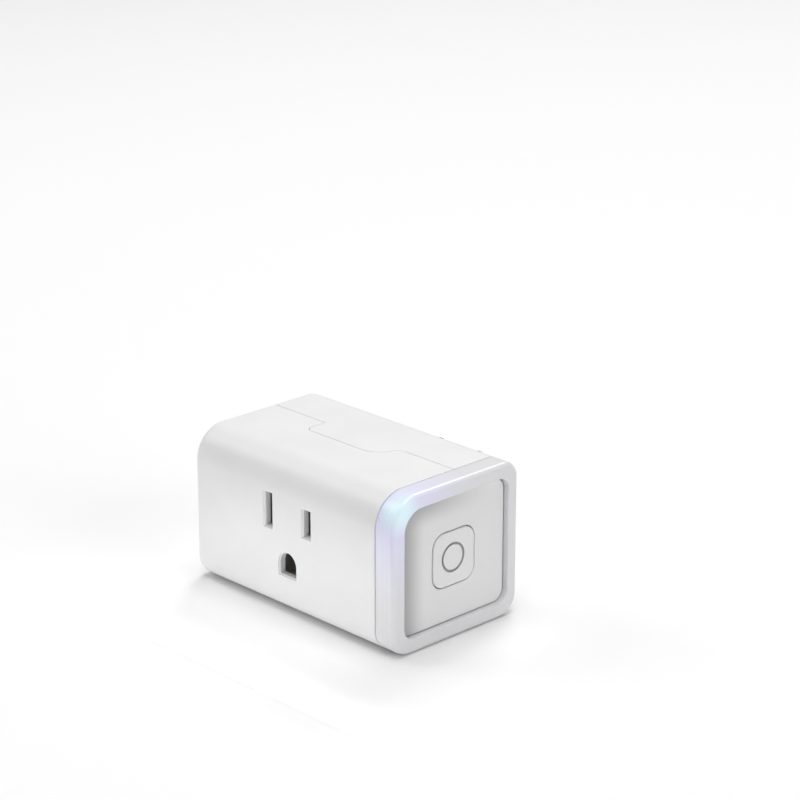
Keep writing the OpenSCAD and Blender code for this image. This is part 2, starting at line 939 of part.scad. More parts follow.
module bridge_rectifier() {
    color("black")
        block([14, board_back_y, -12], [18.6, board_back_y + 2.2, -8]);
    color("silver")
        for (x = [14.6, 16.9])
            for (z = [-13, -8])
                block([x, board_back_y, z], [x + 1.1, board_back_y + 0.5, z + 1]);
}

module control_chips() {
    for (spot = [[-20, -12], [-24, -18]])
        color("black")
            block([spot.x, board_back_y, spot.y], [spot.x + 4, board_back_y + 1.5, spot.y + 5]);
}

front_housing();
rear_cover();
light_ring();
end_panel();
button();
switch_body();
switch_dome();
switch_plunger();
side_board();
status_leds();
wifi_board();
wifi_shield();
header_strip();
header_pins();
main_board();
board_screws();
contact_carrier();
line_contact();
neutral_contact();
ground_contact();
line_blade();
neutral_blade();
ground_pin();
line_bus();
load_bus();
neutral_bus();
ground_bus();
relay_base();
relay_cover();
relay_bobbin();
relay_coil();
relay_core();
relay_yoke();
relay_armature();
relay_moving_contact();
relay_fixed_contact();
bulk_capacitors();
film_capacitor();
varistor();
fuse();
inductor();
bridge_rectifier();
control_chips();
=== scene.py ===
"""Looks of a compact smart plug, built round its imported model.

Sizes are in millimetres and become metres at the mesh.
"""

import math

import bmesh
import bpy
from mathutils import Matrix, Vector


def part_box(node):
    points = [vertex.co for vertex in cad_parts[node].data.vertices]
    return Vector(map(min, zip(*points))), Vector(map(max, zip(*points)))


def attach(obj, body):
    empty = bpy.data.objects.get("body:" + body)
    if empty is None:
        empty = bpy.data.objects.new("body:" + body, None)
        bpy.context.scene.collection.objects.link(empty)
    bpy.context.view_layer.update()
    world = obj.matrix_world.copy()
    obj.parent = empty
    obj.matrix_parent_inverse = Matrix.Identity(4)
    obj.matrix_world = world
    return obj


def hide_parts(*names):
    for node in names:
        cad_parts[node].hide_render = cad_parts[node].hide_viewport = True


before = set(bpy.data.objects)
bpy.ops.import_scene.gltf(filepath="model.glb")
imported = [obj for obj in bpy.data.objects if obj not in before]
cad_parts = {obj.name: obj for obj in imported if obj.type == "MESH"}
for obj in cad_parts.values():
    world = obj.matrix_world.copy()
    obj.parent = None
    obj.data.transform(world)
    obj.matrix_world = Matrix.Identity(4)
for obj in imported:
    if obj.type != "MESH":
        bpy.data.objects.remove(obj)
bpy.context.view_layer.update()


# Front housing: one white polycarbonate moulding, satin, open at the rear and at the button end.
# It has the outlet's two slots and ground hole in its face, each with a small lead-in, four windows
# for the rear cover's hooks, and rails that hold the side board.

MM = 0.001
housing_low, housing_high = (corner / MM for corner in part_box("front_housing"))
cover_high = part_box("rear_cover")[1] / MM
ring_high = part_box("light_ring")[1] / MM
left, front, bottom = housing_low
joint_x, top, rear = housing_high.x, housing_high.z, cover_high.y
end_x = ring_high.x
middle_y, middle_z = (front + rear) / 2, (top + bottom) / 2
WALL = 1.9
LONG_EDGES = (5.6, 5.0, 4.0, 8.0)  # radii: low front, low rear, top rear, top front
PLAIN_END_EDGE = 2.2
ARC_STEPS = 20


def outline(low, high, radii, inset=0.0, side_steps=1):
    """A rectangle with a radius at each corner, counterclockwise from the low left one.

    It is set in by a distance, and its straight sides may be divided into steps.
    """
    corners = ((low[0], low[1]), (high[0], low[1]), (high[0], high[1]), (low[0], high[1]))
    inward = ((1, 1), (-1, 1), (-1, -1), (1, -1))
    points = []
    for quarter in range(4):
        centre = [corners[quarter][axis] + inward[quarter][axis] * radii[quarter] for axis in (0, 1)]
        for step in range(ARC_STEPS + 1):
            angle = math.radians(180 + 90 * quarter + 90 * step / ARC_STEPS)
            reach = radii[quarter] - inset
            points.append((centre[0] + reach * math.cos(angle), centre[1] + reach * math.sin(angle)))
    if side_steps == 1:
        return points
    divided = []
    for k, (here, there) in enumerate(zip(points, points[1:] + points[:1])):
        divided.append(here)
        if k % (ARC_STEPS + 1) == ARC_STEPS:
            shares = [step / side_steps for step in range(1, side_steps)]
            divided += [tuple(a + (b - a) * share for a, b in zip(here, there)) for share in shares]
    return divided


def section(x, inset):
    """The casing's cross-section at one x."""
    return [(x, y, z) for y, z in outline((front, bottom), (rear, top), LONG_EDGES, inset)]


def mesh_piece(name, points, faces):
    """A new object from points in millimetres, closed and with its faces turned outwards."""
    mesh = bpy.data.meshes.new(name)
    mesh.from_pydata([Vector(point) * MM for point in points], [], faces)
    shape = bmesh.new()
    shape.from_mesh(mesh)
    bmesh.ops.remove_doubles(shape, verts=shape.verts, dist=0.0005 * MM)
    bmesh.ops.recalc_face_normals(shape, faces=shape.faces)
    shape.to_mesh(mesh)
    shape.free()
    piece = bpy.data.objects.new(name, mesh)
    bpy.context.scene.collection.objects.link(piece)
    return piece


def skin(name, rings, capped=True):
    """A skin over rings of equally many points; without caps, the last ring joins the first."""
    count = len(rings[0])
    pairs = list(zip(range(len(rings)), range(1, len(rings))))
    faces = []
    if capped:
        faces = [tuple(range(count)), tuple(range((len(rings) - 1) * count, len(rings) * count))]
    else:
        pairs.append((len(rings) - 1, 0))
    for here, there in pairs:
        for k in range(count):
            after = (k + 1) % count
            faces.append((here * count + k, here * count + after, there * count + after, there * count + k))
    return mesh_piece(name, [point for ring in rings for point in ring], faces)


def block(name, low, high):
    """A box between two corners, for cutting or joining."""
    rings = [[(x, low[1], low[2]), (x, high[1], low[2]), (x, high[1], high[2]), (x, low[1], high[2])]
             for x in (low[0], high[0])]
    return skin(name, rings)


def applied(piece):
    """The piece with its modifiers worked into its mesh."""
    graph = bpy.context.evaluated_depsgraph_get()
    mesh = bpy.data.meshes.new_from_object(piece.evaluated_get(graph))
    piece.modifiers.clear()
    piece.data = mesh
    return piece


def combine(piece, tool, operation="DIFFERENCE"):
    """Cuts a tool out of the piece, joins it on, or keeps only what both share, and drops the tool."""
    step = piece.modifiers.new(operation.lower(), "BOOLEAN")
    step.operation = operation
    step.solver = "EXACT"
    step.object = tool
    applied(piece)
    bpy.data.objects.remove(tool)
    return piece


def finish_edges(piece, bevel=0.0, sharp_angle=35, segments=2, flatten=True):
    """Softens the sharp edges by a small bevel and shades flat faces flat and round ones round."""
    shape = bmesh.new()
    shape.from_mesh(piece.data)
    bmesh.ops.remove_doubles(shape, verts=shape.verts, dist=0.002 * MM)
    if flatten:
        bmesh.ops.dissolve_limit(shape, angle_limit=math.radians(0.5), verts=shape.verts, edges=shape.edges)
    shape.to_mesh(piece.data)
    shape.free()
    if bevel:
        edge = piece.modifiers.new("edges", "BEVEL")
        edge.width = bevel * MM
        edge.segments = segments
        edge.limit_method = "ANGLE"
        edge.angle_limit = math.radians(sharp_angle)
        applied(piece)
    piece.data.shade_smooth()
    piece.data.set_sharp_from_angle(angle=math.radians(sharp_angle + 10))
    weight = piece.modifiers.new("normals", "WEIGHTED_NORMAL")
    weight.keep_sharp = True
    weight.weight = 100
    return applied(piece)


class Signal:
    """A socket of a material, on which ordinary arithmetic adds the matching maths node."""

    def __init__(self, finish, socket):
        self.finish, self.socket = finish, socket

    def maths(self, operation, *values):
        """A maths node on the given values."""
        return self.finish.node("ShaderNodeMath", {"operation": operation}, dict(enumerate(values)))

    def __add__(self, other):
        return self.maths("ADD", self, other)

    def __sub__(self, other):
        return self.maths("SUBTRACT", self, other)

    def __mul__(self, other):
        return self.maths("MULTIPLY", self, other)

    def __truediv__(self, other):
        return self.maths("DIVIDE", self, other)

    def __gt__(self, other):
        return self.maths("GREATER_THAN", self, other)

    def __radd__(self, other):
        return self.maths("ADD", other, self)

    def __rsub__(self, other):
        return self.maths("SUBTRACT", other, self)

    def __rmul__(self, other):
        return self.maths("MULTIPLY", other, self)

    def between(self, low, high):
        """0 below low, 1 above high, and a smooth rise between them."""
        settings = {"interpolation_type": "SMOOTHSTEP"}
        return self.finish.node("ShaderNodeMapRange", settings, {0: self, 1: low, 2: high})

    def zigzag(self, period):
        """A rise from 0 to a period and back, over and over."""
        return self.maths("PINGPONG", self, period)

    def magnitude(self):
        """The value without its sign."""
        return self.maths("ABSOLUTE", self)


class Nodes:
    """A node tree, built node by node."""

    def node(self, kind, settings=None, sockets=None, output=0):
        """Adds a node: its settings first, then a value or a link for each named or numbered socket."""
        made = self.tree.nodes.new(kind)
        for name, value in (settings or {}).items():
            setattr(made, name, value)
        for name, value in (sockets or {}).items():
            if isinstance(value, Signal):
                self.tree.links.new(value.socket, made.inputs[name])
            else:
                made.inputs[name].default_value = value
        return Signal(self, made.outputs[output]) if made.outputs else None


class Finish(Nodes):
    """One procedural material and the nodes that make it."""

    def __init__(self, name):
        self.material = bpy.data.materials.new(name)
        self.material.use_nodes = True
        self.tree = self.material.node_tree
        self.tree.nodes.clear()
        self.place = self.node("ShaderNodeTexCoord", output="Object")

    def along(self, axis):
        """The place along X, Y or Z, in millimetres."""
        return self.node("ShaderNodeSeparateXYZ", {}, {0: self.place}, output=axis) / MM

    def away_from(self, point):
        """The distance from a point, both in millimetres."""
        sockets = {0: self.place, 1: tuple(MM * value for value in point)}
        return self.node("ShaderNodeVectorMath", {"operation": "DISTANCE"}, sockets, output="Value") / MM

    def noise(self, size, detail=2.0, stretch=(1.0, 1.0, 1.0)):
        """Soft random values round 0.5, with grains of one size in millimetres."""
        place = self.node("ShaderNodeMapping", {}, {"Vector": self.place, "Scale": stretch})
        scale = 1 / (size * MM)
        return self.node("ShaderNodeTexNoise", {}, {"Vector": place, "Scale": scale, "Detail": detail})

    def mix(self, factor, first, second):
        """A colour between two colours."""
        first, second = (c if isinstance(c, Signal) else (*c, 1.0) for c in (first, second))
        sockets = {0: factor, 6: first, 7: second}
        return self.node("ShaderNodeMix", {"data_type": "RGBA"}, sockets, output=2)

    def bump(self, height, depth, strength=1.0):
        """A normal from heights of 0 to 1 that stand for a depth in millimetres."""
        sockets = {"Strength": strength, "Distance": depth * MM, "Height": height}
        return self.node("ShaderNodeBump", {}, sockets)

    def surface(self, **sockets):
        """The shader; a keyword names a socket, with _ for a space."""
        named = {name.replace("_", " "): value for name, value in sockets.items()}
        for name, value in named.items():
            if not isinstance(value, Signal) and isinstance(value, tuple) and len(value) == 3:
                named[name] = (*value, 1.0)
        shader = self.node("ShaderNodeBsdfPrincipled", {}, named)
        self.node("ShaderNodeOutputMaterial", {}, {"Surface": shader})
        return self.material


def moulded_plastic(name, colour, roughness, grain=0.12, grain_depth=0.004, shift=0.012, coat=0.0):
    """Moulded plastic: a fine spark-eroded grain, with faint flow marks in its gloss and colour."""
    finish = Finish(name)
    flow = finish.noise(14, detail=3)
    fine = finish.noise(grain, detail=2)
    darker = tuple(channel * (1 - shift) for channel in colour)
    lighter = tuple(min(channel * (1 + shift), 1.0) for channel in colour)
    return finish.surface(
        Base_Color=finish.mix(flow.between(0.35, 0.65), darker, lighter),
        Roughness=roughness + (flow - 0.5) * 0.06 + (fine - 0.5) * 0.08,
        Normal=finish.bump(fine, grain_depth, 0.35),
        IOR=1.5,
        Coat_Weight=coat,
        Coat_Roughness=0.25,
    )


def replace_node(piece, node, material, body="casing"):
    """Puts the finished piece in place of a CAD node, on that node's body and with its material slot."""
    piece.data.materials.clear()
    piece.data.materials.append(material)
    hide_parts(node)
    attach(piece, body)
    return piece


def casing_solid(name, inset, far_x, lip=0.0):
    """The closed casing set in by a distance, with a rounded plain end and, with a lip, a rounded far edge."""
    edge = max(PLAIN_END_EDGE - inset, 0.25)
    turns = [math.radians(90 * step / 8) for step in range(9)]
    rings = []
    for turn in turns:
        rings.append(section(left + inset + edge * (1 - math.cos(turn)), inset + edge * (1 - math.sin(turn))))
    if lip:
        for turn in turns[::2]:
            rings.append(section(far_x - lip * (1 - math.sin(turn)), inset + lip * (1 - math.cos(turn))))
    else:
        rings.append(section(far_x, inset))
    return skin(name, rings)


SEAM = rear - 15.0
TONGUE_REACH = 6.05
TONGUE_LEFT = -13.2
TONGUE_CORNER = 1.8
CURVE_START = 5.6
CURVE_SWEEP = math.radians(75)


def behind_seam(name, grow):
    """All that lies behind the seam, with the tongue on the upper half, grown by a distance on every side."""
    tip = SEAM - TONGUE_REACH
    unit = TONGUE_REACH / (1 - math.cos(CURVE_SWEEP))
    wide_turn, tight_turn = 0.65 * unit, 0.35 * unit
    wide = (CURVE_START, tip + wide_turn)
    tight = (CURVE_START + unit * math.sin(CURVE_SWEEP), SEAM - tight_turn)
    steps = 16
    points = [(left - 2, rear + 2), (left - 2, SEAM - grow), (TONGUE_LEFT - grow, SEAM - grow)]
    for step in range(steps // 2 + 1):
        angle = math.radians(180 + 90 * step / (steps // 2))
        reach = TONGUE_CORNER + grow
        points.append((TONGUE_LEFT + TONGUE_CORNER + reach * math.cos(angle),
                       tip + TONGUE_CORNER + reach * math.sin(angle)))
    for step in range(steps + 1):
        angle = CURVE_SWEEP * step / steps
        reach = wide_turn + grow
        points.append((wide[0] + reach * math.sin(angle), wide[1] - reach * math.cos(angle)))
    for step in range(1, steps + 1):
        angle = CURVE_SWEEP * (1 - step / steps)
        reach = tight_turn - grow
        points.append((tight[0] - reach * math.sin(angle), tight[1] + reach * math.cos(angle)))
    points += [(end_x + 2, SEAM - grow), (end_x + 2, rear + 2)]
    upper = skin(name, [[(x, y, z) for x, y in points] for z in (middle_z, top + 2)])
    lower = block("lower", (left - 2, SEAM - grow, bottom - 2), (end_x + 2, rear + 2, middle_z))
    return combine(upper, lower, "UNION")


HALF_PITCH = 6.35
NEUTRAL_SLOT = 8.2
LINE_SLOT = 6.5
SLOT_HALF_WIDTH = 1.1
LEAD_IN = 0.5
LEAD_IN_HEIGHT = 0.3


def blade_slot(x, height):
    """A blade slot through the face, widening over its lead-in."""
    deep = []
    for y, flare in ((front - 1, 2), (front, 1), (front + LEAD_IN, 0), (front + WALL + 1, 0)):
        half_x = SLOT_HALF_WIDTH + flare * LEAD_IN
        half_z = height / 2 + flare * LEAD_IN_HEIGHT
        corners = ((-half_x, -half_z), (half_x, -half_z), (half_x, half_z), (-half_x, half_z))
        deep.append([(x + across, y, z) for across, z in corners])
    return skin("slot", deep)


GROUND_Z = -11.9
ARCH_RADIUS = 2.7
ARCH_SPRING = GROUND_Z + 0.3
SILL = GROUND_Z - 2.45
HOLE_STEP = 0.3
HOLE_STEP_DEPTH = 0.35


def ground_hole():
    """The ground hole: a round arch over a flat sill, with a shallow step at its mouth."""
    arc = [math.radians(180 * step / 24) for step in range(25)]
    step_floor = front + HOLE_STEP_DEPTH
    deep = []
    for y, wider in ((front - 1, HOLE_STEP), (step_floor, HOLE_STEP), (step_floor + 0.01, 0),
                     (front + WALL + 1, 0)):
        radius, sill = ARCH_RADIUS + wider, SILL - wider
        ring = [(radius * math.cos(t), y, ARCH_SPRING + radius * math.sin(t)) for t in arc]
        deep.append(ring + [(-radius, y, sill), (radius, y, sill)])
    return skin("ground_hole", deep)


HOOK_WIDTH = 4.0
HOOK_REACH = 6.4
HOOK_NOSE = 1.6
HOOKS = [(x, side) for side in (1, -1) for x in (-20, 16)]
RAIL_WIDTH = 0.8
RAIL_LENGTH = 4.0
RAILS = [(x, z) for z in (-14, 2) for x in (22.1, 24.3)]
OPEN_EDGE = 0.18
SHELL_BEVEL = 0.06


def wall_block(x, width, y, length, outer, inner, side):
    """A block at the top wall (side 1) or the bottom wall (-1), by its depths below the outer face."""
    edges = sorted(((top if side > 0 else bottom) - side * depth for depth in (outer, inner)))
    return block("wall_block", (x - width / 2, y, edges[0]), (x + width / 2, y + length, edges[1]))


SEAM_GAP = 0.14
white_shell = moulded_plastic("white_shell", (0.83, 0.83, 0.835), 0.36, grain=0.16, grain_depth=0.003)
front_shell = casing_solid("front_shell", 0, joint_x, lip=OPEN_EDGE)
combine(front_shell, casing_solid("hollow", WALL, joint_x + 1))
combine(front_shell, behind_seam("rear_half", SEAM_GAP / 2))
combine(front_shell, blade_slot(-HALF_PITCH, NEUTRAL_SLOT))
combine(front_shell, blade_slot(HALF_PITCH, LINE_SLOT))
combine(front_shell, ground_hole())
for x, side in HOOKS:
    window_start = SEAM - HOOK_REACH - 0.1
    window = wall_block(x, HOOK_WIDTH + 0.4, window_start, HOOK_NOSE + 0.3, WALL - 0.7, WALL + 1, side)
    combine(front_shell, window)
for x, z in RAILS:
    rail = block("rail", (x, front + WALL - 0.2, z), (x + RAIL_WIDTH, front + WALL + 1.8, z + RAIL_LENGTH))
    combine(front_shell, rail, "UNION")
replace_node(finish_edges(front_shell, bevel=SHELL_BEVEL), "front_housing", white_shell)


# Rear cover: the other half of the white moulding, with the tongue that runs forward on top.
# A stepped lip and four hooks snap it into the housing; four bosses carry the main board.

BOARD_BACK = -7.0
BOARD_SCREWS = [(-11.5, 8.2), (11.5, 8.2), (-10.5, -19.0), (10.5, -19.0)]
BOSS_RADIUS = 2.2
PILOT_RADIUS = 1.15
PILOT_DEPTH = 4.8
BLADE_HALF = (0.75, 3.175)
PIN_ROOT = 2.55
FIT = 0.05  # clearance round a blade or a pin in its hole
LIP_THICK = 0.9
LIP_END = 25
LIP_HEIGHT = 2.5
HOOK_ARM = 8.4


def rod_y(name, x, z, radius, low_y, high_y, steps=40):
    """A round rod along Y."""
    turns = [2 * math.pi * step / steps for step in range(steps)]
    circle = [(x + radius * math.cos(t), z + radius * math.sin(t)) for t in turns]
    return skin(name, [[(a, y, b) for a, b in circle] for y in (low_y, high_y)])


def wall_strip(name, inset, reach):
    """A strip of wall that runs on from the cover and reaches past the seam by a distance."""
    strip = combine(casing_solid(name, inset, LIP_END), behind_seam("reach", reach), "INTERSECT")
    combine(strip, casing_solid("hollow", WALL + 1, joint_x + 1))
    behind = block("behind", (left - 1, SEAM + LIP_HEIGHT, bottom - 1), (end_x, rear + 1, top + 1))
    return combine(strip, behind)


rear_shell = casing_solid("rear_shell", 0, joint_x, lip=OPEN_EDGE)
combine(rear_shell, behind_seam("rear_half", -SEAM_GAP / 2), "INTERSECT")
combine(rear_shell, casing_solid("hollow", WALL, joint_x + 1))
lip = wall_strip("lip", WALL + 0.1, 2)
root = wall_strip("root", WALL - LIP_THICK, -0.4)
combine(rear_shell, combine(lip, root, "UNION"), "UNION")
for x, side in HOOKS:
    arm = wall_block(x, HOOK_WIDTH, SEAM - HOOK_REACH, HOOK_ARM, WALL + 0.1, WALL + 1.2, side)
    nose = wall_block(x, HOOK_WIDTH, SEAM - HOOK_REACH, HOOK_NOSE, WALL - 0.6, WALL + 1, side)
    combine(rear_shell, combine(arm, nose, "UNION"), "UNION")
for x, z in BOARD_SCREWS:
    combine(rear_shell, rod_y("boss", x, z, BOSS_RADIUS, BOARD_BACK, rear - WALL + 0.2), "UNION")
    combine(rear_shell, rod_y("screw_hole", x, z, PILOT_RADIUS, BOARD_BACK - 1, BOARD_BACK + PILOT_DEPTH))
for x in (-HALF_PITCH, HALF_PITCH):
    half_x, half_z = (size + FIT for size in BLADE_HALF)
    combine(rear_shell, block("blade_hole", (x - half_x, rear - 4, -half_z), (x + half_x, rear + 1, half_z)))
combine(rear_shell, rod_y("pin_hole", 0, GROUND_Z, PIN_ROOT + FIT, rear - 4, rear + 1))
replace_node(finish_edges(rear_shell, bevel=SHELL_BEVEL), "rear_cover", white_shell)


# Light ring: a frosted light guide between the housing and the end, welded to the housing by a thin skirt.
# The lamps behind its top front corner make that corner glow; the glow fades along both edges.

RIM = 3.6
TOP_RIM = 3.3
REAR_RIM = 3.2
RECESS_EDGES = (3.0, 3.0, 3.0, 5.2)
RING_EDGE = 1.3
INNER_BEVEL = 0.3
LEDGE = 2.0
JOINT_GROOVE = 0.5
JOINT_GAP = 0.3
SKIRT_LENGTH = 3.0
SKIRT_THICK = 1.3
panel_low, panel_high = (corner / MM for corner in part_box("end_panel"))


def recess(x, inset, side_steps=1):
    """The outline of the end opening that shows the panel, at one x."""
    low, high = (front + RIM, bottom + RIM), (rear - REAR_RIM, top - TOP_RIM)
    return [(x, y, z) for y, z in outline(low, high, RECESS_EDGES, inset, side_steps)]


def rounded(make, x, inset, radius, out, start=0, stop=90, steps=8):
    """Rings round a quarter circle from the side (0 degrees) to the end (90), or back.

    On an outer edge out is 1, and on an inner edge it is -1.
    """
    rings = []
    for step in range(steps + 1):
        turn = math.radians(start + (stop - start) * step / steps)
        rings.append(make(x - radius * (1 - math.sin(turn)), inset + out * radius * (1 - math.cos(turn))))
    return rings


groove_end = joint_x + JOINT_GAP
skirt_x = joint_x - SKIRT_LENGTH
skirt_out = WALL + 0.1
skirt_in = skirt_out + SKIRT_THICK
ring_rings = [section(joint_x, JOINT_GROOVE), section(groove_end, JOINT_GROOVE)]
ring_rings += [section(groove_end, 0.12), section(groove_end + 0.12, 0.0)]
ring_rings += rounded(section, end_x, 0, RING_EDGE, 1)
ring_rings += rounded(recess, end_x, 0, INNER_BEVEL, -1, 90, 0, steps=4)
ring_rings += [recess(panel_low.x, 0), recess(panel_low.x, LEDGE), recess(joint_x, LEDGE)]
ring_rings += [section(joint_x, skirt_in), section(skirt_x, skirt_in), section(skirt_x, skirt_out)]
ring_rings += [section(joint_x, skirt_out)]
light_ring = skin("light_ring_guide", ring_rings, capped=False)

LAMP_CORNER = (end_x - 1.0, front + 3.0, top - 3.0)
CYAN_GLOW = (0.05, 0.21, 0.27)
LAVENDER_GLOW = (0.03, 0.02, 0.16)
NO_GLOW = (0.0, 0.0, 0.0)
frosted = Finish("frosted_ring")
from_lamp = frosted.away_from(LAMP_CORNER)
core = 1 - from_lamp.between(1.0, 6.5)
halo = 1 - from_lamp.between(4.0, 24.0)
cloud = frosted.noise(5, detail=3)
steps_inside = frosted.along("X").zigzag(0.7) / 0.7
frosted.surface(
    Base_Color=frosted.mix(steps_inside * 0.5 + cloud * 0.5, (0.72, 0.72, 0.735), (0.77, 0.77, 0.78)),
    Roughness=0.3 + (cloud - 0.5) * 0.08,
    Normal=frosted.bump(frosted.noise(0.1), 0.003, 0.3),
    Emission_Color=frosted.mix(halo, NO_GLOW, frosted.mix(core, LAVENDER_GLOW, CYAN_GLOW)),
    Emission_Strength=1.0,
    IOR=1.5,
)
replace_node(finish_edges(light_ring, bevel=0.0), "light_ring", frosted.material)


# End panel: a light grey plate with a fine matte grain, pressed into the ring, with the button's hole.

button_low, button_high = (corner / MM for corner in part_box("button"))
button_y, button_z = ((button_low[axis] + button_high[axis]) / 2 for axis in (1, 2))
BUTTON_HALF = 6.35
BUTTON_CORNER = 3.2
GAP = 0.28
HOLE_CORNER = 3.5
PANEL_GAP = 0.26


def square_ring(x, half, corner):
    """A rounded square round the button's middle, at one x."""
    low, high = (button_y - half, button_z - half), (button_y + half, button_z + half)
    return [(x, y, z) for y, z in outline(low, high, (corner,) * 4, side_steps=16)]


def panel_edge(x, inset):
    """The plate's outer edge, at one x."""
    return recess(x, PANEL_GAP + inset, side_steps=16)


def hole_edge(x, inset):
    """The edge of the button's hole, at one x."""
    return square_ring(x, BUTTON_HALF + GAP - inset, HOLE_CORNER - inset)


panel_rings = [panel_edge(panel_low.x, 0)] + rounded(panel_edge, panel_high.x, 0, 0.12, 1, steps=3)
panel_rings += rounded(hole_edge, panel_high.x, 0, 0.25, -1, 90, 0, steps=5) + [hole_edge(panel_low.x, 0)]
grey_panel = Finish("grey_panel")
# The plate is painted darker towards the front and top rims: a painted shade of the rims, laid into its colour
# here.
behind_rim = 1 - grey_panel.along("Y").between(front + RIM + 0.5, front + RIM + 8)
below_rim = grey_panel.along("Z").between(top - TOP_RIM - 6, top - TOP_RIM)
towards_front = 1 - grey_panel.along("Y").between(front + 6, rear - 4)
painted_rim_shade = 1 - (1 - behind_rim) * (1 - below_rim * towards_front)
grit = grey_panel.noise(0.09)
grey_panel.surface(
    Base_Color=grey_panel.mix(painted_rim_shade, (0.80, 0.80, 0.805), (0.42, 0.42, 0.425)),
    Roughness=0.55 + (grit - 0.5) * 0.08,
    Normal=grey_panel.bump(grit, 0.006, 0.35),
    IOR=1.5,
)
panel_plate = skin("panel_plate", panel_rings, capped=False)
replace_node(finish_edges(panel_plate), "end_panel", grey_panel.material)


# Button: a matte cap with a dished face and a ring-shaped groove, on a flange that keeps it behind the panel.
# A nub on its back meets the push switch's plunger.

DISH_RADIUS = 50.0
DISH_DEPTH = 0.45
GROOVE_RADIUS = 3.25
GROOVE_HALF = 0.25
GROOVE_DEPTH = 0.42
GROOVE_BREAK = 0.06
FLANGE = 1.6
CAP_EDGE = 0.28
face_x = button_high.x
flange_x = panel_low.x - 0.1


def dish_x(y, z):
    """The height of the dished face."""
    away = math.hypot(y - button_y, z - button_z)
    return min(face_x, face_x - DISH_DEPTH + DISH_RADIUS - math.sqrt(DISH_RADIUS ** 2 - away ** 2))


def dish_ring(inset, roundness, radius):
    """A ring on the dished face, from the cap's outline (roundness 0) to a circle (1)."""
    cap = square_ring(0, BUTTON_HALF - inset, BUTTON_CORNER - inset)
    ring = []
    for _, y, z in cap:
        angle = math.atan2(z - button_z, y - button_y)
        y += (button_y + radius * math.cos(angle) - y) * roundness
        z += (button_z + radius * math.sin(angle) - z) * roundness
        ring.append((dish_x(y, z), y, z))
    return ring


def circle_ring(radius, lower):
    """A circle on the dished face, lowered by a distance."""
    return [(x - lower, y, z) for x, y, z in dish_ring(0.3, 1.0, radius)]


def cap_edge(x, inset):
    """The cap's edge, at one x."""
    return square_ring(x, BUTTON_HALF - inset, BUTTON_CORNER - inset)


def flange_edge(x, inset):
    """The flange's edge, at one x."""
    return square_ring(x, BUTTON_HALF + FLANGE - inset, BUTTON_CORNER + 1 - inset)


cap_rings = [flange_edge(flange_x - 1, 0)] + rounded(flange_edge, flange_x, 0, 0.2, 1, steps=3)
cap_rings += [cap_edge(flange_x, 0)]
edge_rings = rounded(cap_edge, 0, 0, CAP_EDGE, 1, steps=5)
for ring in edge_rings:
    cap_rings.append([(x + dish_x(y, z), y, z) for x, y, z in ring])
cap_rings += [dish_ring(CAP_EDGE + 0.3 * step, step / 8, 5.0 - 0.12 * step) for step in range(1, 9)]
groove_out, groove_in = GROOVE_RADIUS + GROOVE_HALF, GROOVE_RADIUS - GROOVE_HALF
groove = [(GROOVE_RADIUS + 0.55, 0.0), (groove_out + GROOVE_BREAK, 0.0),
          (groove_out, 0.07), (groove_out - 0.02, GROOVE_DEPTH),
          (groove_in + 0.02, GROOVE_DEPTH), (groove_in, 0.07),
          (groove_in - GROOVE_BREAK, 0.0)]
cap_rings += [circle_ring(radius, lower) for radius, lower in groove]
cap_rings += [circle_ring(radius, 0.0) for radius in (2.6, 1.8, 1.0, 0.3)]
button_cap = skin("button_dish", cap_rings)
nub_turns = [2 * math.pi * step / 40 for step in range(40)]
nub_profile = [(0.0, 1.9), (0.1, 2.1), (0.3, 2.2), (0.8, 2.2)]
nub_rings = []
for away, radius in nub_profile:
    circle = [(button_y + radius * math.cos(t), button_z + radius * math.sin(t)) for t in nub_turns]
    nub_rings.append([(button_low.x + away, y, z) for y, z in circle])
combine(button_cap, skin("nub", nub_rings), "UNION")
button_plastic = Finish("button_cap")
from_middle = button_plastic.away_from((face_x, button_y, button_z))
# The groove's floor is painted darker than the cap: painted shade in the groove.
off_groove = (from_middle - GROOVE_RADIUS).magnitude().between(GROOVE_HALF, GROOVE_HALF + 0.12)
cap_grit = button_plastic.noise(0.09)
button_plastic.surface(
    Base_Color=button_plastic.mix(off_groove, (0.42, 0.42, 0.43), (0.81, 0.81, 0.815)),
    Roughness=0.52 + (cap_grit - 0.5) * 0.08,
    Normal=button_plastic.bump(cap_grit, 0.006, 0.35),
    IOR=1.5,
)
replace_node(finish_edges(button_cap, flatten=False), "button", button_plastic.material, "button")


# Contact carrier: the ivory moulding behind the face that holds the three socket contacts.

def softened(node, name, bevel, segments=2):
    """A copy of a CAD node's mesh, its points merged and its sharp edges broken."""
    piece = bpy.data.objects.new(name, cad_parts[node].data.copy())
    bpy.context.scene.collection.objects.link(piece)
    return finish_edges(piece, bevel, sharp_angle=30, segments=segments)


ivory = moulded_plastic("ivory_nylon", (0.62, 0.61, 0.57), 0.5, grain=0.2, grain_depth=0.004, shift=0.03)
replace_node(softened("contact_carrier", "carrier_block", 0.08), "contact_carrier", ivory)


# Socket contacts: three forks stamped and bent from tin-plated spring brass, with flared mouths.

def rolled_metal(name, colour, roughness, tarnish, stretch=(1, 30, 1)):
    """Sheet or drawn metal: fine streaks along one axis in its gloss, and a faint uneven tarnish."""
    finish = Finish(name)
    streaks = finish.noise(3, detail=4, stretch=stretch)
    patches = finish.noise(4, detail=4).between(0.42, 0.68)
    return finish.surface(
        Base_Color=finish.mix(patches * 0.5, colour, tarnish),
        Metallic=1.0,
        Roughness=roughness + (streaks - 0.5) * 0.25 + patches * 0.06,
        Normal=finish.bump(streaks, 0.005, 0.3),
    )


tinned_contact = rolled_metal("tinned_brass", (0.50, 0.48, 0.43), 0.38, (0.42, 0.36, 0.24))
for node in ("line_contact", "neutral_contact", "ground_contact"):
    replace_node(softened(node, node.replace("contact", "fork"), 0.05), node, tinned_contact)


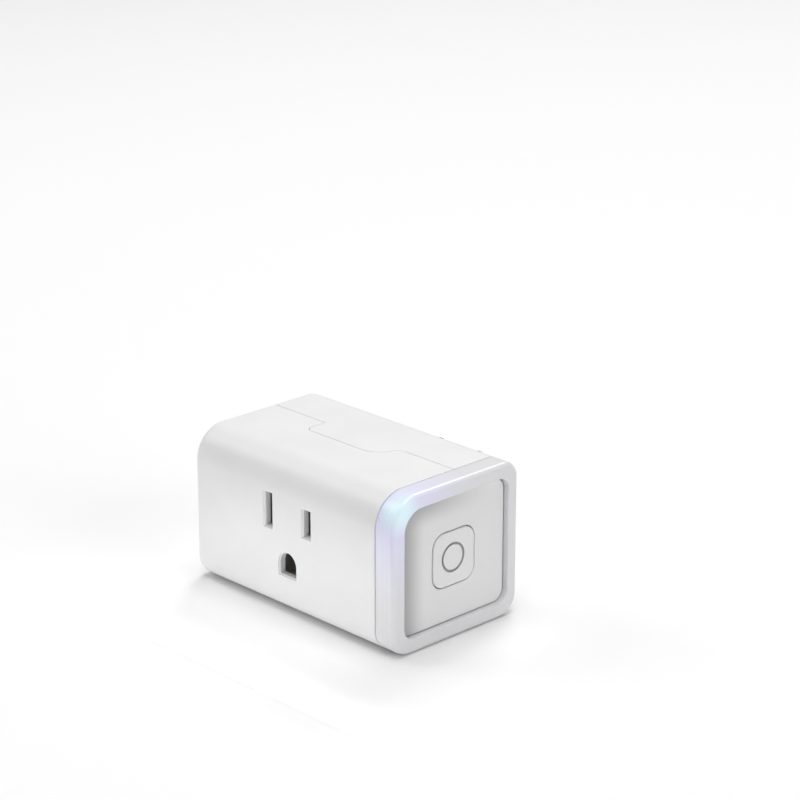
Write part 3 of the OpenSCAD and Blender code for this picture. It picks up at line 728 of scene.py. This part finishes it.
# Blades: two flat blades of nickel-plated brass, coined at the tip, with a hole for the outlet's detent.

nickel = rolled_metal("nickel_plate", (0.78, 0.75, 0.69), 0.2, (0.66, 0.60, 0.50), stretch=(20, 1, 20))
for node in ("line_blade", "neutral_blade"):
    replace_node(softened(node, node.replace("blade", "plated_blade"), 0.12, segments=3), node, nickel)


# Ground pin: turned from brass rod and nickel-plated, with a domed tip and a thicker root.

PIN_RADIUS = 2.38
PIN_TAIL = 1.1
PIN_COLLAR = 3.3
COLLAR_ENDS = (-3.1, -1.9)


def turned(name, axis, centre, profile, steps=48):
    """A turned piece: its profile is a list of (place along the axis, radius)."""
    rings = []
    for along, radius in profile:
        ring = []
        for step in range(steps):
            turn = 2 * math.pi * step / steps
            a, b = centre[0] + radius * math.cos(turn), centre[1] + radius * math.sin(turn)
            ring.append({"X": (along, a, b), "Y": (a, along, b), "Z": (a, b, along)}[axis])
        rings.append(ring)
    return skin(name, rings)


pin_low, pin_high = (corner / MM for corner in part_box("ground_pin"))
low_collar, high_collar = COLLAR_ENDS
pin_profile = [(pin_low.y, PIN_TAIL - 0.1), (pin_low.y + 0.15, PIN_TAIL), (low_collar - 0.02, PIN_TAIL),
               (low_collar, PIN_COLLAR - 0.1), (low_collar + 0.1, PIN_COLLAR),
               (high_collar - 0.1, PIN_COLLAR), (high_collar, PIN_COLLAR - 0.1),
               (high_collar, PIN_ROOT), (0.22, PIN_ROOT), (0.3, PIN_ROOT - 0.08), (0.3, PIN_RADIUS + 0.02)]
for degrees in range(0, 87, 6):
    turn = math.radians(degrees)
    pin_profile.append((pin_high.y - PIN_RADIUS * (1 - math.sin(turn)), PIN_RADIUS * math.cos(turn)))
ground_pin = turned("turned_ground_pin", "Y", (0, GROUND_Z), pin_profile)
replace_node(finish_edges(ground_pin, flatten=False), "ground_pin", nickel)


# Main board: glass-epoxy with a green solder mask; the copper tracks under the mask show lighter.

def circuit_board(name, mask, over_copper, axes):
    """A solder-masked board whose tracks run along two Object axes."""
    finish = Finish(name)
    lanes = [finish.along(axis).zigzag(0.55) > 0.36 for axis in axes]
    region = finish.noise(6, detail=1).between(0.49, 0.5)
    pours = finish.noise(9, detail=0).between(0.54, 0.545)
    tracks = (lanes[0] * region + lanes[1] * (1 - region) + pours).between(0.4, 0.6)
    weave = finish.noise(0.4)
    return finish.surface(
        Base_Color=finish.mix(tracks, mask, over_copper),
        Roughness=0.32 + (weave - 0.5) * 0.12 - tracks * 0.06,
        Normal=finish.bump(tracks + weave * 0.15, 0.03, 0.6),
        Coat_Weight=0.3,
        Coat_Roughness=0.2,
    )


GREEN_MASK = (0.012, 0.10, 0.045)
GREEN_OVER_COPPER = (0.03, 0.20, 0.085)
main_mask = circuit_board("main_solder_mask", GREEN_MASK, GREEN_OVER_COPPER, "XZ")
replace_node(softened("main_board", "main_circuit_board", 0.05), "main_board", main_mask)


# Board screws: four zinc-plated pan-head screws with a cross recess and a coarse thread. They hold the
# main board on the rear cover's bosses.

SCREW_HEAD = 1.4
THREAD_PITCH = 0.62
CORE, CREST = 0.88, 1.1
EVEN = (1, 1, 1)
zinc = rolled_metal("zinc_plate", (0.62, 0.62, 0.60), 0.3, (0.5, 0.48, 0.40), stretch=EVEN)
screw_low, screw_high = (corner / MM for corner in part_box("board_screws"))
screw_length = screw_high.y - screw_low.y
screw_profile = [(0.0, 0.9), (0.06, 1.4), (0.3, 1.85), (0.7, 2.08), (1.3, 2.1), (SCREW_HEAD, 2.0)]
for turn in range(6):
    start = SCREW_HEAD + 0.1 + THREAD_PITCH * turn
    screw_profile += [(start, CORE), (start + THREAD_PITCH / 3, CREST), (start + THREAD_PITCH * 2 / 3, CORE)]
screw_profile += [(screw_length - 0.35, CORE), (screw_length, 0.3)]
screw = turned("screw", "Y", (0, 0), screw_profile, steps=32)
for half_x, half_z in ((1.2, 0.25), (0.25, 1.2)):
    combine(screw, block("recess", (-half_x, -1, -half_z), (half_x, 0.7, half_z)))
finish_edges(screw, flatten=False)


class Recipe(Nodes):
    """A Geometry Nodes tree that sets a shape at every point it is given and ends in one material."""

    def __init__(self, name, sizes):
        self.tree = bpy.data.node_groups.new(name, "GeometryNodeTree")
        self.tree.interface.new_socket("Points", in_out="INPUT", socket_type="NodeSocketGeometry")
        for size, kind in sizes.items():
            self.tree.interface.new_socket(size, in_out="INPUT", socket_type="NodeSocket" + kind)
        self.tree.interface.new_socket("Pieces", in_out="OUTPUT", socket_type="NodeSocketGeometry")
        self.given = self.tree.nodes.new("NodeGroupInput")

    def size(self, name):
        """One of the tree's own inputs."""
        return Signal(self, self.given.outputs[name])

    def finish(self, shape, material):
        """Places the shape on the points, makes it real and gives it its material."""
        placed = self.node("GeometryNodeInstanceOnPoints", {}, {0: self.size("Points"), "Instance": shape})
        real = self.node("GeometryNodeRealizeInstances", {}, {0: placed})
        coated = self.node("GeometryNodeSetMaterial", {}, {0: real, "Material": material})
        self.node("NodeGroupOutput", {}, {0: coated})

    def make(self, name, points, values):
        """A plain mesh piece from points in millimetres and a value for each of the tree's inputs."""
        mesh = bpy.data.meshes.new(name)
        mesh.from_pydata([Vector(point) * MM for point in points], [], [])
        piece = bpy.data.objects.new(name, mesh)
        bpy.context.scene.collection.objects.link(piece)
        step = piece.modifiers.new("recipe", "NODES")
        step.node_group = self.tree
        for item in self.tree.interface.items_tree:
            if item.name in values:
                step[item.identifier] = values[item.name]
        return applied(piece)


copies = Recipe("copies_of_a_piece", {"Piece": "Object"})
one_piece = copies.node("GeometryNodeObjectInfo", {}, {0: copies.size("Piece")}, output="Geometry")
copies.finish(one_piece, zinc)
screw_spots = [(x, screw_low.y, z) for x, z in BOARD_SCREWS]
screw_set = copies.make("pan_head_screws", screw_spots, {"Piece": screw})
bpy.data.objects.remove(screw)
replace_node(screw_set, "board_screws", zinc)


# Copper bars: four punched strips that lie on the back of the main board and join the contacts' tabs,
# the relay's tabs, the blades' tabs and the ground pin's tail.

copper = rolled_metal("copper_strip", (0.72, 0.40, 0.25), 0.3, (0.45, 0.22, 0.14), stretch=(1, 1, 20))
for node in ("line_bus", "load_bus", "neutral_bus", "ground_bus"):
    replace_node(softened(node, node.replace("bus", "bar"), 0.08), node, copper)


# Solder joints: small bright cones where the leads come through the main board, and larger, flatter ones
# where the tabs come through the copper bars.

solder_metal = rolled_metal("solder", (0.74, 0.74, 0.74), 0.22, (0.6, 0.6, 0.6), stretch=EVEN)
cones = Recipe("solder_cones", {"Foot radius": "Float", "Tip radius": "Float", "Height": "Float"})
cone = cones.node("GeometryNodeMeshCone", {}, {
    "Vertices": 14,
    "Side Segments": 3,
    "Radius Top": cones.size("Tip radius"),
    "Radius Bottom": cones.size("Foot radius"),
    "Depth": cones.size("Height"),
})
turned_cone = cones.node("GeometryNodeTransform", {}, {0: cone, "Rotation": (math.radians(-90), 0, 0)})
cones.finish(cones.node("GeometryNodeSetShadeSmooth", {}, {0: turned_cone}), solder_metal)
BAR = 0.7
LEADS = {
    "header": [(21, z) for z in range(-16, 0, 2)],
    "bulk capacitors": [(x, z) for x in (-26.3, -16.9) for z in (-14.9, -17.9)],
    "film capacitor": [(16.6, -5.6), (16.6, 0.4)],
    "fuse": [(-5.2, -19.4), (5.2, -19.4)],
    "varistor": [(15.9, -17.4), (15.9, -12.6)],
    "inductor": [(16, 6), (18.4, 6)],
}
TABS = [(x, z) for x in (-HALF_PITCH, HALF_PITCH) for z in (-1.8, 1.8)]
TABS += [(0, -9.2), (0, GROUND_Z), (-27.95, 1.1), (-17, -5.5)]
lead_sizes = {"Foot radius": 0.75 * MM, "Tip radius": 0.22 * MM, "Height": 0.7 * MM}
tab_sizes = {"Foot radius": 1.45 * MM, "Tip radius": 0.6 * MM, "Height": 0.5 * MM}
lead_spots = [(x, BOARD_BACK, z) for row in LEADS.values() for x, z in row]
lead_joints = cones.make("lead_joints", lead_spots, lead_sizes)
tab_joints = cones.make("tab_joints", [(x, BOARD_BACK + BAR, z) for x, z in TABS], tab_sizes)
for joints in (lead_joints, tab_joints):
    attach(joints, "casing")


# Relay: a black base and cover round an iron yoke and core, an ivory bobbin and a pair of brass contacts.
# The armature tips on the yoke's rounded edge and carries the moving contact.

NYLON_BLACK = (0.022, 0.022, 0.024)
IRON_GREY = (0.50, 0.50, 0.50)
BRASS_YELLOW = (0.78, 0.56, 0.24)
black_nylon = moulded_plastic("black_nylon", NYLON_BLACK, 0.45, grain=0.2, grain_depth=0.006, shift=0.1)
relay_iron = rolled_metal("relay_iron", IRON_GREY, 0.35, (0.42, 0.40, 0.34), stretch=(20, 1, 1))
contact_brass = rolled_metal("spring_brass", BRASS_YELLOW, 0.28, (0.56, 0.36, 0.14), stretch=(1, 20, 1))
RELAY = {
    "relay_base": ("relay_base_moulding", 0.15, black_nylon, "casing"),
    "relay_cover": ("relay_cover_moulding", 0.3, black_nylon, "casing"),
    "relay_bobbin": ("relay_bobbin_moulding", 0.08, ivory, "casing"),
    "relay_core": ("relay_core_rod", 0.08, relay_iron, "casing"),
    "relay_yoke": ("relay_yoke_plate", 0.08, relay_iron, "casing"),
    "relay_armature": ("relay_armature_plate", 0.1, relay_iron, "armature"),
    "relay_moving_contact": ("moving_contact_strip", 0.04, contact_brass, "armature"),
    "relay_fixed_contact": ("fixed_contact_strip", 0.03, contact_brass, "casing"),
}
for node, (name, bevel, material, body) in RELAY.items():
    replace_node(softened(node, name, bevel), node, material, body)


# Relay coil: enamelled copper wire wound on the bobbin, its outer layer as one helix round a filled core.

enamel = Finish("enamelled_wire")
shade = enamel.noise(1.5, detail=3).between(0.35, 0.65)
enamel.surface(
    Base_Color=enamel.mix(shade, (0.45, 0.16, 0.05), (0.58, 0.24, 0.08)),
    Metallic=0.85,
    Roughness=0.3 + shade * 0.08,
    Normal=enamel.bump(enamel.noise(0.15), 0.004, 0.3),
    Coat_Weight=0.6,
    Coat_Roughness=0.12,
)
winding = Recipe("winding", {"Radius": "Float", "Length": "Float", "Turns": "Float", "Wire radius": "Float",
                             "Lean": "Float"})
helix = winding.node("GeometryNodeCurveSpiral", {}, {
    "Resolution": 28,
    "Rotations": winding.size("Turns"),
    "Start Radius": winding.size("Radius"),
    "End Radius": winding.size("Radius"),
    "Height": winding.size("Length"),
})
round_wire = {"Resolution": 7, "Radius": winding.size("Wire radius")}
wire_section = winding.node("GeometryNodeCurvePrimitiveCircle", {}, round_wire)
wire = winding.node("GeometryNodeCurveToMesh", {}, {0: helix, 1: wire_section, "Fill Caps": True})
lean = winding.node("ShaderNodeCombineXYZ", {}, {0: winding.size("Lean")})
leaned = winding.node("GeometryNodeTransform", {}, {0: wire, "Rotation": lean})
winding.finish(winding.node("GeometryNodeSetShadeSmooth", {}, {0: leaned}), enamel.material)


def wound(name, node, axis, centre, start, length, radius, wire_radius):
    """A filled winding in place of a CAD node, along Y or Z, with a helix of wire as its outer layer."""
    foot = start + wire_radius
    place = (centre[0], centre[1], foot) if axis == "Z" else (centre[0], foot, centre[1])
    reach = radius - wire_radius
    coil = winding.make(name, [place], {
        "Radius": reach * MM,
        "Length": (length - 2 * wire_radius) * MM,
        "Turns": length / (2 * wire_radius) - 1,
        "Wire radius": wire_radius * MM,
        "Lean": 0.0 if axis == "Z" else math.radians(-90),
    })
    inside = turned("inner_layers", axis, centre, [(start + 0.02, reach), (start + length - 0.02, reach)])
    both = bmesh.new()
    both.from_mesh(coil.data)
    both.from_mesh(inside.data)
    both.to_mesh(coil.data)
    both.free()
    bpy.data.objects.remove(inside)
    return replace_node(coil, node, enamel.material)


coil_low, coil_high = (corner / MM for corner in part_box("relay_coil"))
coil_centre = ((coil_low.x + coil_high.x) / 2, (coil_low.y + coil_high.y) / 2)
wound("relay_coil_winding", "relay_coil", "Z", coil_centre, coil_low.z, coil_high.z - coil_low.z,
      coil_high.x - coil_centre[0], wire_radius=0.14)


# Drum inductor: enamelled wire between the two flanges of a black ferrite drum.

FLANGE_THICK = 1.0
FLANGE_RADIUS = 3.1
DRUM_WINDING_RADIUS = 2.7
drum_low, drum_high = (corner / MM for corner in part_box("inductor"))
drum_centre = ((drum_low.x + drum_high.x) / 2, (drum_low.z + drum_high.z) / 2)
wound("drum_winding", "inductor", "Y", drum_centre, drum_low.y + FLANGE_THICK,
      drum_high.y - drum_low.y - 2 * FLANGE_THICK, DRUM_WINDING_RADIUS, wire_radius=0.2)
ferrite = moulded_plastic("ferrite", (0.035, 0.033, 0.036), 0.6, grain=0.3, grain_depth=0.01, shift=0.1)
for name, low in (("front_flange", drum_low.y), ("rear_flange", drum_high.y - FLANGE_THICK)):
    flange_profile = [(low, FLANGE_RADIUS - 0.2), (low + 0.15, FLANGE_RADIUS),
                      (low + FLANGE_THICK - 0.15, FLANGE_RADIUS), (low + FLANGE_THICK, FLANGE_RADIUS - 0.2)]
    flange = finish_edges(turned(name, "Y", drum_centre, flange_profile), flatten=False)
    flange.data.materials.append(ferrite)
    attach(flange, "casing")


# Bulk capacitors: two aluminium cans in dark blue shrink sleeves, each with a pale stripe of dashes on its
# negative side and a bare end.

can_low, can_high = (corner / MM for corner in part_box("bulk_capacitors"))
sleeve = Finish("capacitor_sleeve")
depth = sleeve.along("Y")
bare = 1 - depth.between(can_low.y + 0.28, can_low.y + 0.32)
stripe = sleeve.along("Z").between(can_high.z - 0.62, can_high.z - 0.58)
dashes = depth.zigzag(1.2) > 0.7
printed = sleeve.mix(stripe, (0.015, 0.03, 0.13), sleeve.mix(dashes, (0.62, 0.66, 0.70), (0.05, 0.06, 0.12)))
rub = sleeve.noise(2.5, detail=4)
sleeve.surface(
    Base_Color=sleeve.mix(bare, printed, (0.72, 0.72, 0.73)),
    Metallic=bare,
    Roughness=0.22 + (rub - 0.5) * 0.12 + bare * 0.1,
    Normal=sleeve.bump(rub, 0.02, 0.3),
    IOR=1.5,
)
replace_node(softened("bulk_capacitors", "electrolytic_cans", 0.1), "bulk_capacitors", sleeve.material)


# Film capacitor and varistor: an epoxy-filled yellow box and a disc dipped in blue epoxy.

yellow_box = moulded_plastic("yellow_box", (0.72, 0.46, 0.03), 0.35, grain=0.4, grain_depth=0.01, shift=0.04)
replace_node(softened("film_capacitor", "film_capacitor_box", 0.25), "film_capacitor", yellow_box)
DIP_BLUE = (0.03, 0.10, 0.38)
blue_dip = moulded_plastic("blue_dip", DIP_BLUE, 0.2, grain=1.2, grain_depth=0.05, shift=0.05, coat=0.5)
replace_node(softened("varistor", "varistor_disc", 0.35, segments=4), "varistor", blue_dip)


# Fuse: a ceramic tube with a nickel-plated cap at each end.

fuse_tube = Finish("fuse_tube")
cap = fuse_tube.along("X").magnitude().between(3.82, 3.88)
marks = fuse_tube.noise(1.2, detail=4)
ceramic = fuse_tube.mix(marks, (0.60, 0.57, 0.50), (0.66, 0.63, 0.56))
fuse_tube.surface(
    Base_Color=fuse_tube.mix(cap, ceramic, (0.70, 0.68, 0.63)),
    Metallic=cap,
    Roughness=0.42 - cap * 0.18 + (marks - 0.5) * 0.1,
    Normal=fuse_tube.bump(marks, 0.01, 0.4),
)
replace_node(softened("fuse", "ceramic_fuse", 0.1), "fuse", fuse_tube.material)


# Bridge rectifier: a black epoxy case with four flat tinned leads, on the back of the main board.

BRIDGE_CASE = (-12.0, -8.0)
bridge = Finish("bridge_epoxy")
height = bridge.along("Z")
lead = 1 - height.between(BRIDGE_CASE[0] - 0.02, BRIDGE_CASE[0] + 0.02)
lead = lead + height.between(BRIDGE_CASE[1] - 0.02, BRIDGE_CASE[1] + 0.02)
pits = bridge.noise(0.25, detail=3)
epoxy = bridge.mix(pits, (0.018, 0.018, 0.02), (0.03, 0.03, 0.032))
bridge.surface(
    Base_Color=bridge.mix(lead, epoxy, (0.68, 0.68, 0.68)),
    Metallic=lead,
    Roughness=0.55 - lead * 0.25 + (pits - 0.5) * 0.1,
    Normal=bridge.bump(pits, 0.012, 0.5),
)
replace_node(softened("bridge_rectifier", "bridge_case", 0.08), "bridge_rectifier", bridge.material)


# Control chips: two black epoxy cases on the back of the main board, each with eight gull-wing legs.

CHIP_BLACK = (0.024, 0.024, 0.026)
chip_epoxy = moulded_plastic("chip_epoxy", CHIP_BLACK, 0.55, grain=0.25, grain_depth=0.012, shift=0.2)
replace_node(softened("control_chips", "chip_cases", 0.12), "control_chips", chip_epoxy)
CHIPS = ((-20, -12), (-24, -18))
CHIP_WIDTH = 4
FIRST_LEG = 0.7
LEG_PITCH = 1.2
LEG_HALF_WIDTH = 0.2
tinned = rolled_metal("tinned_sheet", (0.70, 0.70, 0.70), 0.25, (0.58, 0.57, 0.54), stretch=(1, 1, 15))
leg_path = [(-0.1, 0.75), (0.45, 0.75), (0.65, 0.12), (1.1, 0.12)]
leg_path += [(1.1, 0.0), (0.55, 0.0), (0.35, 0.6), (-0.1, 0.6)]
leg_rows = Recipe("chip_legs", {"Leg": "Object"})
one_leg = leg_rows.node("GeometryNodeObjectInfo", {}, {0: leg_rows.size("Leg")}, output="Geometry")
leg_rows.finish(one_leg, tinned)
for name, side, edge in (("left_chip_legs", -1, 0), ("right_chip_legs", 1, CHIP_WIDTH)):
    leg = skin("leg", [[(side * x, y, z) for x, y in leg_path] for z in (-LEG_HALF_WIDTH, LEG_HALF_WIDTH)])
    spots = [(x + edge, BOARD_BACK, z + FIRST_LEG + LEG_PITCH * k) for x, z in CHIPS for k in range(4)]
    row = leg_rows.make(name, spots, {"Leg": leg})
    bpy.data.objects.remove(leg)
    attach(row, "casing")


# Side board: the small green board behind the end panel. It carries the push switch, whose stem stands
# under the button, and two lamps behind the ring's corner.

side_mask = circuit_board("side_solder_mask", GREEN_MASK, GREEN_OVER_COPPER, "YZ")
replace_node(softened("side_board", "side_circuit_board", 0.05), "side_board", side_mask)
replace_node(softened("switch_body", "switch_case", 0.12), "switch_body", black_nylon)
replace_node(softened("switch_dome", "snap_disc", 0.0), "switch_dome", tinned)
switch_stem = softened("switch_plunger", "switch_stem", 0.12, segments=3)
replace_node(switch_stem, "switch_plunger", black_nylon, "plunger")

lamp = Finish("lamp_resin")
milk = lamp.noise(0.5)
lamp.surface(
    Base_Color=lamp.mix(milk, (0.70, 0.90, 0.98), (0.82, 0.96, 1.0)),
    Roughness=0.15 + (milk - 0.5) * 0.1,
    Emission_Color=lamp.mix(milk, (0.35, 0.85, 1.0), (0.5, 0.92, 1.0)),
    Emission_Strength=2.0,
    Normal=lamp.bump(milk, 0.01, 0.3),
    IOR=1.5,
)
replace_node(softened("status_leds", "lamp_pair", 0.12), "status_leds", lamp.material)


# Radio: its own dark board on the inner face of the side board, under a tinned shielding can.

radio_mask = circuit_board("radio_solder_mask", (0.008, 0.014, 0.03), (0.02, 0.035, 0.07), "YZ")
replace_node(softened("wifi_board", "radio_circuit_board", 0.05), "wifi_board", radio_mask)
replace_node(softened("wifi_shield", "shielding_can", 0.15, segments=3), "wifi_shield", tinned)


# Pin header: eight square brass pins, bent round a corner in a black strip, join the two boards.

replace_node(softened("header_strip", "header_strip_moulding", 0.08), "header_strip", black_nylon)
replace_node(softened("header_pins", "header_pin_row", 0.05), "header_pins", contact_brass)


# Floor, lights and camera. The floor is a flat sheet of pale paper. The lights are large and soft, apart
# from a small low strip close in front, which lifts the lower part of the face.

FLOOR_HALF = 3000
floor_low, floor_high = bottom - 1, bottom - 0.02
floor = block("floor", (-FLOOR_HALF, -FLOOR_HALF, floor_low), (FLOOR_HALF, FLOOR_HALF, floor_high))
paper = Finish("floor_paper")
paper_white = paper.mix(paper.noise(400), (0.89, 0.89, 0.89), (0.91, 0.91, 0.91))
floor.data.materials.append(paper.surface(Base_Color=paper_white, Roughness=0.8))

world = bpy.data.worlds.new("studio")
bpy.context.scene.world = world
world.use_nodes = True
sky = world.node_tree.nodes["Background"]
sky.inputs["Color"].default_value = (1.0, 1.0, 1.0, 1.0)
sky.inputs["Strength"].default_value = 0.15


def softbox(name, direction, distance, size, power, height=None):
    """An area light that faces the plug from a direction, with sizes in metres and power in watts."""
    light = bpy.data.lights.new(name, "AREA")
    light.shape = "RECTANGLE"
    light.size, light.size_y, light.energy = size, height or size, power
    holder = bpy.data.objects.new(name, light)
    aim = Vector((0, middle_y, middle_z)) * MM
    holder.location = aim + Vector(direction).normalized() * distance
    holder.rotation_euler = Vector(direction).to_track_quat("Z", "Y").to_euler()
    holder.visible_camera = False
    bpy.context.scene.collection.objects.link(holder)


softbox("overhead", (0, 0, 1), 1.5, 0.8, 10.8)
softbox("back", (-0.3, 0.6, 0.74), 1.5, 0.6, 7.2)
softbox("front", (0.25, -0.8, 0.52), 1.5, 0.6, 0.9)
softbox("right", (0.9, 0.15, 0.4), 1.5, 0.8, 6.0)
softbox("front_left", (-0.68, -0.33, 0.66), 1.5, 0.6, 3.4)
softbox("grazing", (0.25, -0.31, 0.91), 1.5, 0.45, 2.2)
softbox("low", (0, -1, -0.33), 0.053, 0.11, 0.007, height=0.005)

AZIMUTH = 45.78
ELEVATION = 19.44
ROLL = 0.1
CAMERA_PLACE = (0.41591, -0.40766, 0.22435)  # metres
lens = bpy.data.cameras.new("camera")
lens.lens = 120.73
lens.sensor_width = 36
lens.shift_x, lens.shift_y = -0.0034, -0.0032
lens.clip_start = 0.01
camera = bpy.data.objects.new("camera", lens)
stand = Matrix.Translation(CAMERA_PLACE)
turn = Matrix.Rotation(math.radians(AZIMUTH), 4, "Z")
tilt = Matrix.Rotation(math.radians(90 - ELEVATION), 4, "X")
roll = Matrix.Rotation(math.radians(ROLL), 4, "Z")
camera.matrix_world = stand @ turn @ tilt @ roll
bpy.context.scene.collection.objects.link(camera)
bpy.context.scene.camera = camera
bpy.context.scene.view_settings.view_transform = "Standard"
